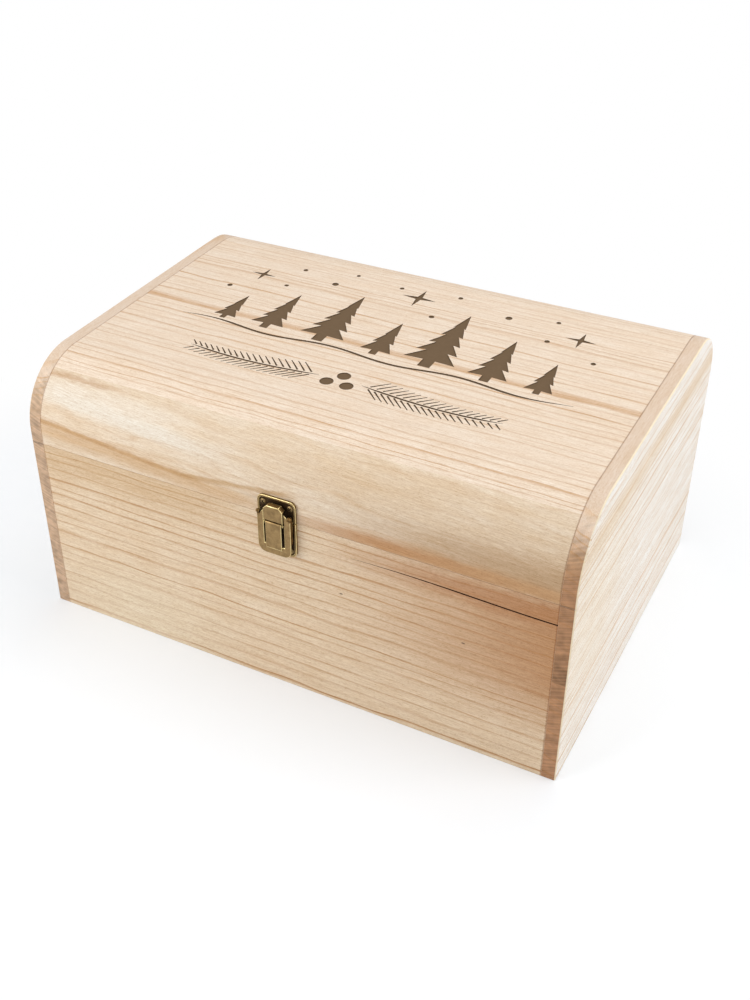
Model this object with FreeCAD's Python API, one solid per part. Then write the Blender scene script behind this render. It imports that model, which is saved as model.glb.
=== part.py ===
import FreeCAD, Part
import math
import os

from FreeCAD import Vector

# Wooden keepsake box with a hinged lid, round at its front and back edges, and a brass draw latch.
# Millimetres. Origin at the centre of the underside, +X to the right, +Y to the back, +Z up.

# Box
box_width = 350.0
box_depth = 250.0
seam_height = 125.0  # top of the base and bottom of the lid
seam_gap = 0.2
lid_front_wall = 8.0  # upright part of the lid's front, below its round edge
front_curve_radius = 42.0
rear_curve_radius = 38.0
board = 8.6  # thickness of the ends, front, back and top
rail_joint_angle = 59.0  # where the top board meets the curved rails, up from level
arris = 0.7  # bevel on the outer edges of the end boards
joint_ease = 0.12  # eased edges along the seam and beside the end boards
bottom_thickness = 5.0
bottom_rabbet = 4.0  # how far the bottom panel goes into the walls
bottom_clearance = 0.2

# Screws
screw_head_radius = 1.9
screw_head_flat = 1.25  # radius of the head's flat top
screw_head_height = 0.9
screw_shank_radius = 1.0
screw_length = 7.0
screw_tip = 1.6
screw_clearance = 0.05
recess_length = 2.0
recess_width = 0.5
recess_depth = 0.45

# Latch plates, on the front face; heights are from the seam, distances out from the face
plate_width = 24.6
plate_sheet = 0.8
plate_split = 0.3  # from the seam to each plate
keeper_height = 13.7
base_plate_height = 23.7
plate_corner = 4.0
rim_width = 1.4
rim_rise = 0.7
keeper_screw_spread = 17.4
keeper_screw_height = 9.2
base_screw_spread = 16.4
base_screw_drop = 20.4
ledge_width = 6.6
ledge_sheet = 0.8
ledge_gap = 0.5  # under the hook's turned-in top
ledge_tip_gap = 0.4  # behind the hook's front wall
ledge_window = 3.8  # opening that the ledge was pressed out of

# Latch lever
lever_width = 21.4
lever_sheet = 0.8
lever_standoff = 4.2  # from the face to the back of the lever
lever_drop = 22.8
lever_window = 13.2
lever_pad = 6.5  # solid strip under the window
lever_corner = 5.0
lever_arm_rise = 6.6  # inner corner of each arm, above the seam
lever_arm_shoulder = 2.6  # outer corner of each arm, above the seam
skirt_depth = 2.0
skirt_stop = 3.6  # from the lever's lower end to the skirt's
pivot_rise = 4.6
pivot_out = 4.4
pivot_radius = 0.6
pivot_clearance = 0.05
lobe_wall = 0.5
rivet_head_radius = 1.0
rivet_head = 0.3
ear_sheet = 0.8
ear_gap = 0.2  # between an ear and the skirt beside it
ear_root = 8.0  # height of an ear where it leaves the plate
ear_lift = 1.0  # clear of the keeper plate above the seam
bar_width = 10.2
bar_foot = 2.7  # overlap of the bar on the pad
bar_step = 1.2

# Latch hook
hook_width = 12.4
hook_sheet = 0.8
hook_side = 0.6
hook_side_depth = 1.2
hook_rise = 10.7
hook_turn_in = 3.6  # depth of the turned-in top and corners
hook_corner = 2.4
hook_bar_gap = 1.2  # slot between the hook and the bar's rolled end
hook_hinge_drop = 1.2
roll_radius = 1.0
hook_pin_radius = 0.5
hook_pin_clearance = 0.05
hook_pin_end = 0.2

# Hinges, on the back face
hinge_end_distance = 65.0  # from the box's end to the hinge's middle
hinge_width = 33.0
leaf_height = 11.5
leaf_sheet = 1.0
leaf_split = 0.3
knuckle_radius = 2.0
knuckle_lift = 0.1  # between the back face and the knuckle
knuckle_gap = 0.2
middle_knuckle = 9.0
knuckle_span = 22.0
hinge_pin_radius = 1.0
hinge_pin_clearance = 0.05
leaf_notch_gap = 0.4  # between a leaf and the other leaf's knuckle
stop_angle = 106.0  # lid angle at which the stop lips meet
stop_length = 5.0
stop_start = 0.3
hinge_screw_spread = 20.0
hinge_screw_height = 7.4

# Places worked out from the sizes above
box_height = seam_height + lid_front_wall + front_curve_radius
half_width = box_width / 2
half_depth = box_depth / 2
inner_x = half_width - board
inner_y = half_depth - board
base_top = seam_height - seam_gap / 2
lid_bottom = seam_height + seam_gap / 2
curve_radius = {-1: front_curve_radius, 1: rear_curve_radius}
hinge_places = {"left": hinge_end_distance - half_width, "right": half_width - hinge_end_distance}
hinge_axis_out = knuckle_radius + knuckle_lift
lever_front = lever_standoff + lever_sheet
hook_front = lever_front + hook_sheet
hook_hinge_out = hook_front - roll_radius
lobe_radius = pivot_radius + pivot_clearance + lobe_wall
skirt_outer = lever_width / 2
skirt_inner = skirt_outer - lever_sheet
ear_outer = skirt_inner - ear_gap
ear_inner = ear_outer - ear_sheet
pilot_radius = screw_shank_radius + screw_clearance


def box(x0, x1, y0, y1, z0, z1):
    """Box between two corners."""
    return Part.makeBox(x1 - x0, y1 - y0, z1 - z0, Vector(x0, y0, z0))


def rod_x(radius, x0, x1, y, z):
    """Round bar along X."""
    return Part.makeCylinder(radius, x1 - x0, Vector(x0, y, z), Vector(1, 0, 0))


def section(points, x0, x1):
    """Prism along X of a closed outline given as (y, z) points."""
    corners = [Vector(x0, y, z) for y, z in points]
    face = Part.Face(Part.makePolygon(corners + corners[:1]))
    return face.extrude(Vector(x1 - x0, 0, 0))


def outline(points, z0, z1):
    """Prism along Z of a closed outline given as (x, y) points."""
    corners = [Vector(x, y, z0) for x, y in points]
    face = Part.Face(Part.makePolygon(corners + corners[:1]))
    return face.extrude(Vector(0, 0, z1 - z0))


def fuse(shapes):
    """One solid from touching shapes."""
    return shapes[0].multiFuse(shapes[1:]).removeSplitter()


def edges_where(shape, test):
    """Edges whose ends and middle all pass the test."""
    chosen = []
    for edge in shape.Edges:
        middle = edge.valueAt((edge.FirstParameter + edge.LastParameter) / 2)
        if all(test(p) for p in [v.Point for v in edge.Vertexes] + [middle]):
            chosen.append(edge)
    return chosen


def near(a, b):
    """Whether two lengths are the same."""
    return abs(a - b) < 1e-4


def level_at(edge, heights):
    """Whether an edge lies level at one of the heights."""
    return any(all(near(v.Z, height) for v in edge.Vertexes) for height in heights)


def on_front(shape):
    """Turns a shape drawn as (right, up from the seam, out) onto the front face."""
    return shape.rotated(Vector(), Vector(1, 0, 0), 90).translated(Vector(0, -half_depth, seam_height))


def on_back(shape, x):
    """Turns a shape drawn as (left, up from the seam, out) onto the back face."""
    turned = shape.rotated(Vector(), Vector(1, 0, 0), 90).rotated(Vector(), Vector(0, 0, 1), 180)
    return turned.translated(Vector(x, half_depth, seam_height))


def curve_point(side, radius, angle):
    """Point of the round edge at the front (side -1) or back (1); angle is up from level."""
    turn = math.radians(angle)
    y = half_depth - curve_radius[side] + radius * math.cos(turn)
    z = box_height - curve_radius[side] + radius * math.sin(turn)
    return Vector(0, side * y, z)


def curve(side, radius, start, end):
    """Arc of the round edge between two angles."""
    points = [curve_point(side, radius, a) for a in (start, (start + end) / 2, end)]
    return Part.Arc(*points).toShape()


def line(a, b):
    """Straight edge."""
    return Part.LineSegment(a, b).toShape()


def along_x(edges, x0, x1):
    """Prism along X of an outline in the YZ plane."""
    wire = Part.Wire(Part.__sortEdges__(edges))
    wire = wire.translated(Vector(x0, 0, 0))
    return Part.Face(wire).extrude(Vector(x1 - x0, 0, 0))


def wood_screw(seat):
    """Pan-head cross-recess screw whose head sits at the given distance out from the face."""
    top = seat + screw_head_height
    end = seat - screw_length
    corners = [
        Vector(0, 0, top),
        Vector(screw_head_flat, 0, top),
        Vector(screw_head_radius, 0, seat),
        Vector(screw_shank_radius, 0, seat),
        Vector(screw_shank_radius, 0, end + screw_tip),
        Vector(0, 0, end),
    ]
    profile = Part.Face(Part.makePolygon(corners + corners[:1]))
    screw = profile.revolve(Vector(), Vector(0, 0, 1), 360)
    long, wide = recess_length / 2, recess_width / 2
    floor = top - recess_depth
    slots = [box(-long, long, -wide, wide, floor, top), box(-wide, wide, -long, long, floor, top)]
    return screw.cut(slots[0].fuse(slots[1]))


def spread(shape, places):
    """Copies of a shape at (x, y) places."""
    return [shape.translated(Vector(x, y, 0)) for x, y in places]


def pilot(depth):
    """Hole for a screw's shank, from in front of the face to a depth in the wood."""
    return Part.makeCylinder(pilot_radius, depth + plate_sheet + leaf_sheet, Vector(0, 0, -depth))


keeper_screw_places = [(s * keeper_screw_spread / 2, keeper_screw_height) for s in (-1, 1)]
base_screw_places = [(s * base_screw_spread / 2, -base_screw_drop) for s in (-1, 1)]
hinge_lid_screw_places = [(s * hinge_screw_spread / 2, hinge_screw_height) for s in (-1, 1)]
hinge_base_screw_places = [(s * hinge_screw_spread / 2, -hinge_screw_height) for s in (-1, 1)]
latch_pilot = pilot(screw_length - plate_sheet + screw_clearance)
hinge_pilot = pilot(screw_length - leaf_sheet + screw_clearance)


def hinge_sets(shapes):
    """The same shapes at both hinges."""
    return [on_back(shape, x) for x in hinge_places.values() for shape in shapes]


def eased(shape, test):
    """Board with its edges that pass the test eased."""
    return shape.makeChamfer(joint_ease, edges_where(shape, test))


def end_board(side, edges, seam):
    """End board from its outline: outer arris bevelled, edges at the joint eased."""
    outer = side * half_width
    inner = side * inner_x
    raw = along_x(edges, min(outer, inner), max(outer, inner))
    bevelled = [e for e in edges_where(raw, lambda p: near(p.x, outer)) if not level_at(e, (seam, 0))]
    shape = raw.makeChamfer(arris, bevelled)
    joint = [e for e in edges_where(shape, lambda p: near(p.x, inner)) if not level_at(e, (seam, 0))]
    return shape.makeChamfer(joint_ease, joint)


def lid_end_outline():
    """Edges of the lid's side outline in the YZ plane."""
    top = [curve_point(side, curve_radius[side], 90) for side in (-1, 1)]
    foot = [Vector(0, side * half_depth, lid_bottom) for side in (-1, 1)]
    edges = [line(foot[1], foot[0]), line(top[0], top[1])]
    for side, corner in zip((-1, 1), foot):
        edges.append(line(corner, curve_point(side, curve_radius[side], 0)))
        edges.append(curve(side, curve_radius[side], 0, 90))
    return edges


def base_end_outline():
    """Edges of the base's side outline in the YZ plane."""
    corners = [Vector(0, y, z) for y, z in (
        (-half_depth, 0), (half_depth, 0), (half_depth, base_top), (-half_depth, base_top))]
    return [line(a, b) for a, b in zip(corners, corners[1:] + corners[:1])]


def lid_rail(side):
    """Curved rail at the front (side -1) or back (1) of the lid, between the end boards."""
    outer = curve_radius[side]
    inner = outer - board
    foot_out = Vector(0, side * half_depth, lid_bottom)
    foot_in = Vector(0, side * inner_y, lid_bottom)
    edges = [
        line(foot_out, curve_point(side, outer, 0)),
        curve(side, outer, 0, rail_joint_angle),
        line(curve_point(side, outer, rail_joint_angle), curve_point(side, inner, rail_joint_angle)),
        curve(side, inner, rail_joint_angle, 0),
        line(curve_point(side, inner, 0), foot_in),
        line(foot_in, foot_out),
    ]
    rail = along_x(edges, -inner_x, inner_x)
    seam_edge = edges_where(rail, lambda p: near(p.z, lid_bottom) and near(p.y, side * half_depth))
    return rail.makeChamfer(joint_ease, seam_edge)


def lid_top_board():
    """Top board, rounded at both long edges to meet the rails."""
    edges = []
    for radius_cut in (0, board):
        tops = []
        for side in (-1, 1):
            radius = curve_radius[side] - radius_cut
            edges.append(curve(side, radius, rail_joint_angle, 90))
            tops.append(curve_point(side, radius, 90))
        edges.append(line(*tops))
    for side in (-1, 1):
        outer = curve_radius[side]
        edges.append(line(curve_point(side, outer, rail_joint_angle),
                          curve_point(side, outer - board, rail_joint_angle)))
    return along_x(edges, -inner_x, inner_x)


def base_wall(side):
    """Front (side -1) or back (1) board of the base, between the end boards."""
    faces = sorted((side * half_depth, side * inner_y))
    wall = box(-inner_x, inner_x, faces[0], faces[1], 0, base_top)
    return eased(wall, lambda p: near(p.z, base_top) and near(p.y, side * half_depth))


def wooden_parts():
    """Boards of the base and the lid, with the bottom's rabbet and the screws' pilot holes cut."""
    grip_x = inner_x + bottom_rabbet
    grip_y = inner_y + bottom_rabbet
    rabbet = box(-grip_x, grip_x, -grip_y, grip_y, 0, bottom_thickness)
    slack = bottom_clearance
    front_holes = [on_front(h) for h in spread(latch_pilot, base_screw_places)]
    keeper_holes = [on_front(h) for h in spread(latch_pilot, keeper_screw_places)]
    parts = {
        "base_left_end": end_board(-1, base_end_outline(), base_top).cut(rabbet),
        "base_right_end": end_board(1, base_end_outline(), base_top).cut(rabbet),
        "base_front_board": base_wall(-1).cut([rabbet] + front_holes),
        "base_back_board": base_wall(1).cut([rabbet] + hinge_sets(spread(hinge_pilot, hinge_base_screw_places))),
        "base_bottom_panel": box(slack - grip_x, grip_x - slack, slack - grip_y, grip_y - slack, 0, bottom_thickness),
        "lid_left_end": end_board(-1, lid_end_outline(), lid_bottom),
        "lid_right_end": end_board(1, lid_end_outline(), lid_bottom),
        "lid_front_rail": lid_rail(-1).cut(keeper_holes),
        "lid_back_rail": lid_rail(1).cut(hinge_sets(spread(hinge_pilot, hinge_lid_screw_places))),
        "lid_top_board": lid_top_board(),
    }
    return parts


def rimmed_plate(height):
    """Pressed plate above the seam with a raised rim along its sides and top."""
    half = plate_width / 2
    top = plate_split + height
    rim_top = plate_sheet + rim_rise
    plate = box(-half, half, plate_split, top, 0, rim_top)
    corners = edges_where(plate, lambda p: near(p.y, top) and near(abs(p.x), half))
    plate = plate.makeFillet(plate_corner, corners)
    tray_half = half - rim_width
    tray_top = top - rim_width
    tray = box(-tray_half, tray_half, 0, tray_top, plate_sheet, rim_top)
    corners = edges_where(tray, lambda p: near(p.y, tray_top) and near(abs(p.x), tray_half))
    return plate.cut(tray.makeFillet(plate_corner - rim_width, corners))


def keeper_plate():
    """Upper plate, with the ledge that the hook pulls on pressed out of it."""
    half = ledge_width / 2
    ledge_top = hook_rise - hook_sheet - ledge_gap
    ledge_foot = ledge_top - ledge_sheet
    ledge = box(-half, half, ledge_foot, ledge_top, 0, lever_front - ledge_tip_gap)
    window = box(-half, half, ledge_foot - ledge_window, ledge_foot, 0, plate_sheet)
    holes = spread(latch_pilot, keeper_screw_places)
    return on_front(fuse([rimmed_plate(keeper_height), ledge]).cut([window] + holes))


def ear(side):
    """Upright ear beside the lever's arm, carrying its pivot above the seam."""
    x0, x1 = sorted((side * ear_inner, side * ear_outer))
    reach = lever_standoff - ear_gap
    lift = plate_sheet + ear_lift
    foot = -plate_split - ear_root
    neck = section([
        (foot, plate_sheet / 2), (-plate_split, plate_sheet / 2), (-plate_split, lift), (pivot_rise, lift + ear_gap),
        (pivot_rise, reach), (foot + reach, reach)], x0, x1)
    return neck.fuse(rod_x(lobe_radius, x0, x1, pivot_rise, pivot_out))


def base_plate():
    """Lower plate, with the two ears that carry the lever."""
    plate = rimmed_plate(base_plate_height).mirror(Vector(), Vector(0, 1, 0))
    bore = rod_x(pivot_radius + pivot_clearance, -skirt_outer, skirt_outer, pivot_rise, pivot_out)
    holes = spread(latch_pilot, base_screw_places)
    return on_front(fuse([plate, ear(-1), ear(1)]).cut([bore] + holes))


def lever_sheet_outline():
    """U-shaped front of the lever: two arms with sloped tops and a rounded pad."""
    half = lever_width / 2
    slot = lever_window / 2
    sill = lever_pad - lever_drop
    points = [(-half, -lever_drop), (half, -lever_drop)]
    points += [(half, lever_arm_shoulder), (slot, lever_arm_rise), (slot, sill)]
    points += [(-slot, sill), (-slot, lever_arm_rise), (-half, lever_arm_shoulder)]
    sheet = outline(points, lever_standoff, lever_front)
    corners = edges_where(sheet, lambda p: near(p.y, -lever_drop) and near(abs(p.x), half))
    return sheet.makeFillet(lever_corner, corners)


def skirt(side):
    """Folded-back edge of the lever, with the lobe that turns on the pivot."""
    x0, x1 = sorted((side * skirt_inner, side * skirt_outer))
    back = lever_standoff - skirt_depth
    foot = lever_corner + skirt_stop - lever_drop
    strip = section([
        (foot, lever_standoff), (foot + skirt_depth, back), (pivot_rise - lobe_radius, back),
        (pivot_rise, pivot_out - lobe_radius), (pivot_rise, pivot_out + lobe_radius),
        (lever_arm_shoulder, lever_front), (foot, lever_front)], x0, x1)
    return strip.fuse(rod_x(lobe_radius, x0, x1, pivot_rise, pivot_out))


def lever_bar():
    """Raised bar in the lever's window, its upper end rolled round the hook's pin."""
    half = bar_width / 2
    foot = lever_pad - lever_drop - bar_foot
    plate = section([
        (foot, lever_front), (-hook_hinge_drop, lever_front), (-hook_hinge_drop, hook_front),
        (foot + bar_step, hook_front)], -half, half)
    return plate.fuse(rod_x(roll_radius, -half, half, -hook_hinge_drop, hook_hinge_out))


def latch_lever():
    """Draw lever: front, skirts and bar, bored for the pivot and the hook's pin."""
    spans = [sorted((side * (ear_inner - ear_gap), side * skirt_inner)) for side in (-1, 1)]
    notches = [rod_x(lobe_radius + ear_gap, x0, x1, pivot_rise, pivot_out) for x0, x1 in spans]
    body = fuse([lever_sheet_outline().cut(notches), skirt(-1), skirt(1), lever_bar()])
    turning = pivot_radius + pivot_clearance
    bores = [rod_x(turning, x, x + lever_sheet, pivot_rise, pivot_out) for x in (-skirt_outer, skirt_inner)]
    half = bar_width / 2
    bores.append(rod_x(hook_pin_radius + hook_pin_clearance, -half, half, -hook_hinge_drop, hook_hinge_out))
    return on_front(body.cut(bores))


def latch_hook():
    """Hook: front wall, turned-in top that pulls on the ledge, and sides that turn on the pin."""
    half = hook_width / 2
    foot = roll_radius + hook_bar_gap - hook_hinge_drop
    shoulder = hook_rise - hook_corner
    slope = half - hook_corner
    front = [(-half, foot), (half, foot), (half, shoulder), (slope, hook_rise), (-slope, hook_rise), (-half, shoulder)]
    wall = outline(front, lever_front, hook_front)
    ceiling = hook_rise - hook_sheet
    corner = half + shoulder - hook_sheet * 2 ** 0.5  # inner side of the cut corners: width plus height
    hollow = outline([
        (-half, foot), (half, foot), (half, corner - half), (corner - ceiling, ceiling),
        (ceiling - corner, ceiling), (-half, corner - half)], 0, lever_front)
    roof = outline(front, lever_front - hook_turn_in + hook_sheet, hook_front)
    roof = roof.common(box(-half, half, shoulder, hook_rise, 0, hook_front)).cut(hollow)
    pieces = [wall, roof]
    back = lever_front - hook_side_depth
    lobe = hook_pin_radius + hook_pin_clearance + lobe_wall - hook_pin_end / 2
    for x0 in (-half, half - hook_side):
        strip = section([
            (-hook_hinge_drop, back), (shoulder, back), (shoulder, hook_front),
            (foot, hook_front), (-hook_hinge_drop, hook_hinge_out)], x0, x0 + hook_side)
        pieces += [strip, rod_x(lobe, x0, x0 + hook_side, -hook_hinge_drop, hook_hinge_out)]
    bore = rod_x(hook_pin_radius + hook_pin_clearance, -half, half, -hook_hinge_drop, hook_hinge_out)
    return on_front(fuse(pieces).cut(bore))


def lever_rivets():
    """Headed stub rivets through the ears and the lever's skirts."""
    rivets = []
    for side in (-1, 1):
        shank = sorted((side * ear_inner, side * (skirt_outer + ear_gap / 2)))
        head = sorted((side * (skirt_outer + ear_gap / 2), side * (skirt_outer + ear_gap / 2 + rivet_head)))
        stub = rod_x(pivot_radius, shank[0], shank[1], pivot_rise, pivot_out)
        rivets.append(on_front(stub.fuse(rod_x(rivet_head_radius, head[0], head[1], pivot_rise, pivot_out))))
    return Part.makeCompound(rivets)


def hook_pin():
    """Pin of the hook, in the bar's rolled end."""
    end = hook_width / 2 + hook_pin_end
    return on_front(rod_x(hook_pin_radius, -end, end, -hook_hinge_drop, hook_hinge_out))


def latch_parts():
    """Draw latch on the front, closed over the seam."""
    screw = wood_screw(plate_sheet)
    return {
        "latch_keeper_plate": keeper_plate(),
        "latch_base_plate": base_plate(),
        "latch_lever": latch_lever(),
        "latch_hook": latch_hook(),
        "latch_lever_rivets": lever_rivets(),
        "latch_hook_pin": hook_pin(),
        "latch_keeper_screws": Part.makeCompound([on_front(s) for s in spread(screw, keeper_screw_places)]),
        "latch_base_screws": Part.makeCompound([on_front(s) for s in spread(screw, base_screw_places)]),
    }


def stop_lip(x0, x1):
    """Section of a leaf with the lip that stops the lid, drawn above the seam."""
    turn = math.radians(stop_angle / 2)
    along = Vector(0, math.sin(turn), math.cos(turn))
    across = Vector(0, math.cos(turn), -math.sin(turn)) * leaf_sheet
    axis = Vector(0, 0, hinge_axis_out)
    near_end = axis + along * stop_start
    far_end = axis + along * stop_length
    bend = axis + along * leaf_sheet + across
    root = leaf_notch_gap + knuckle_radius
    points = [Vector(0, leaf_split, 0), near_end, far_end, far_end + across, bend, Vector(0, root, leaf_sheet)]
    points += [Vector(0, leaf_height, leaf_sheet), Vector(0, leaf_height, 0)]
    return section([(p.y, p.z) for p in points], x0, x1)


def hinge_leaf(knuckle_spans, plate_spans):
    """Upper leaf: a plate with knuckles on some stretches, notches on others and a stop lip at each end."""
    pieces = []
    notch = knuckle_radius + leaf_notch_gap
    pieces.append(box(-hinge_width / 2, hinge_width / 2, notch, leaf_height, 0, leaf_sheet))
    for x0, x1 in knuckle_spans:
        pieces.append(rod_x(knuckle_radius, x0, x1, 0, hinge_axis_out))
    for x0, x1 in plate_spans:
        pieces.append(box(x0, x1, 0, notch, 0, leaf_sheet).cut(box(x0, x1, 0, leaf_split, 0, knuckle_lift)))
    lip_start = knuckle_span / 2 + knuckle_gap
    pieces.append(stop_lip(lip_start, hinge_width / 2))
    pieces.append(stop_lip(-hinge_width / 2, -lip_start))
    bore = rod_x(hinge_pin_radius + hinge_pin_clearance, -knuckle_span, knuckle_span, 0, hinge_axis_out)
    return fuse(pieces).cut([bore] + spread(hinge_pilot, hinge_lid_screw_places))


def hinge_parts():
    """Two stop hinges on the back, their axis on the seam."""
    middle = middle_knuckle / 2
    end = knuckle_span / 2
    outer_spans = [(-end, -middle - knuckle_gap), (middle + knuckle_gap, end)]
    middle_spans = [(-middle, middle)]
    lid_leaf = hinge_leaf(outer_spans, outer_spans)
    base_leaf = hinge_leaf(middle_spans, middle_spans).mirror(Vector(), Vector(0, 1, 0))
    pin = rod_x(hinge_pin_radius, -end, end, 0, hinge_axis_out)
    parts = {}
    for name, x in hinge_places.items():
        parts[f"hinge_{name}_lid_leaf"] = on_back(lid_leaf, x)
        parts[f"hinge_{name}_base_leaf"] = on_back(base_leaf, x)
        parts[f"hinge_{name}_pin"] = on_back(pin, x)
    screw = wood_screw(leaf_sheet)
    parts["hinge_lid_screws"] = Part.makeCompound(hinge_sets(spread(screw, hinge_lid_screw_places)))
    parts["hinge_base_screws"] = Part.makeCompound(hinge_sets(spread(screw, hinge_base_screw_places)))
    return parts


os.makedirs("parts", exist_ok=True)
for node, shape in {**wooden_parts(), **latch_parts(), **hinge_parts()}.items():
    shape.exportStep(f"parts/{node}.step")
    print(f"{node}: {len(shape.Solids)} solid(s), {shape.Volume:.1f} mm3, valid {shape.isValid()}")
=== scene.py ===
"""Looks of a wooden keepsake box: paulownia boards, a burnt lid decoration and antique brass."""
import logging
import math
from collections.abc import Callable
from dataclasses import dataclass, replace
from enum import Enum, IntEnum
from functools import partial

import bmesh
import bpy
from bmesh.types import BMesh
from bpy.types import Material, Mesh, Node, NodeSocket as Socket, NodeTree as Tree, Object
from mathutils import Matrix, Vector


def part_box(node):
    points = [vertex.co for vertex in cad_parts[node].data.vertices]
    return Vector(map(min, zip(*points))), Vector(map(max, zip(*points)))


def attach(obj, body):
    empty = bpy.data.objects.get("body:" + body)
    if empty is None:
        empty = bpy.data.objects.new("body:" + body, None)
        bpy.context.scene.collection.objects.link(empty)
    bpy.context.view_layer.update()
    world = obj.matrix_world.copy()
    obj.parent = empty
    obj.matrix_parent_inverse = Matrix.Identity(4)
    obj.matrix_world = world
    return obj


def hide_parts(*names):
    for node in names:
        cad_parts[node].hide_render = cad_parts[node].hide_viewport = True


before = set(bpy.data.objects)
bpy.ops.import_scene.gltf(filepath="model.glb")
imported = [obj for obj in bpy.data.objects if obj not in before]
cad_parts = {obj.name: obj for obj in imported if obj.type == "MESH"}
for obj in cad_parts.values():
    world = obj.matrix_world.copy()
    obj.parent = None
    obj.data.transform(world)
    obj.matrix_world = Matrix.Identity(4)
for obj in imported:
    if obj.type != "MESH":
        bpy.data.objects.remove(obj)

LOG = logging.getLogger("keepsake_box")
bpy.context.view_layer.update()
MM = 0.001
JOINT_AT = 166.4

Point = tuple[float, float]
Place = tuple[float, float, float]


def linear(colour: str) -> tuple[float, float, float, float]:
    """Linear red, green, blue and an alpha of one for an sRGB colour in six hex digits."""
    parts = [int(colour[i:i + 2], 16) / 255 for i in (0, 2, 4)]
    return (*[c / 12.92 if c <= 0.04045 else ((c + 0.055) / 1.055) ** 2.4 for c in parts], 1.0)


def add(tree: Tree, kind: str, *values: object, **settings: object) -> Node:
    """Adds a node, sets it up and links or fills its inputs.

    Args:
        tree: Node tree that gets the node.
        kind: Blender's name of the node type.
        values: For each input in order a node or socket to link, a value to set, or None to leave it.
        settings: The node's own settings; a dict named "named" fills inputs by name.

    Returns:
        The new node.
    """
    node = tree.nodes.new(kind)
    named = settings.pop("named", {})
    for key, value in settings.items():
        setattr(node, key, value)
    pairs = [(node.inputs[i], v) for i, v in enumerate(values) if v is not None]
    pairs += [(node.inputs[key], v) for key, v in named.items()]
    for socket, value in pairs:
        source = value.outputs[0] if isinstance(value, Node) else value
        if isinstance(source, Socket):
            tree.links.new(source, socket)
        else:
            socket.default_value = source
    return node


class Grain(Enum):
    """Direction of a board's grain, as the turn that brings it to the pattern's X."""

    ALONG_WIDTH = (0.0, 0.0, 0.0)
    ALONG_DEPTH = (0.0, 0.0, -math.pi / 2)


class Pattern(Enum):
    """Noise in the wood: millimetres of a step along and across the grain, and detail."""

    BEND = (260, 46, 1)
    BREAK = (110, 4, 4)
    CLOUD = (150, 26, 3)
    WAVE = (40, 9, 2)
    BAND = (60, 24, 1)
    LONG_FIBRE = (90, 2.6, 3)
    FINE_FIBRE = (20, 1.25, 3)
    PORE = (6, 0.9, 2)


class Mixed(IntEnum):
    """Places of a Mix node's two colours and of their mix."""

    FIRST = 6
    SECOND = 7
    RESULT = 2


class Brass(IntEnum):
    """Material places of a brass piece."""

    FACE = 0
    # pale edges: rubbed wear and a painted highlight
    RUBBED_HIGHLIGHT = 1
    DARK = 2
    # darker sides and knuckles: painted shade
    FLANK_SHADE = 3


def seen(tree: Tree) -> Socket:
    """Tells what is looked at from what only gives light.

    Args:
        tree: Tree of a material or world.

    Returns:
        One for the camera and for what metal or glass shows, else zero.
    """
    path = add(tree, "ShaderNodeLightPath").outputs
    shown = add(tree, "ShaderNodeMath", path["Is Camera Ray"], path["Is Glossy Ray"], operation="MAXIMUM")
    return add(tree, "ShaderNodeMath", shown, path["Is Transmission Ray"], operation="MAXIMUM").outputs[0]


def blank(name: str) -> Material:
    """Material with an empty node tree.

    Args:
        name: Its name.

    Returns:
        The material.
    """
    made = bpy.data.materials.new(name)
    made.use_nodes = True
    made.node_tree.nodes.clear()
    return made


@dataclass(frozen=True)
class Streak:
    """A band of other colour along the grain, in millimetres of the board's pattern.

    The band lies at height `at + slope * along`, fades over `half` and runs from `start` to `end`.
    """

    colour: str
    at: float
    slope: float
    half: float
    start: float
    end: float
    strength: float
    fade: float = 30.0
    wobble: float = 3.0


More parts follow.
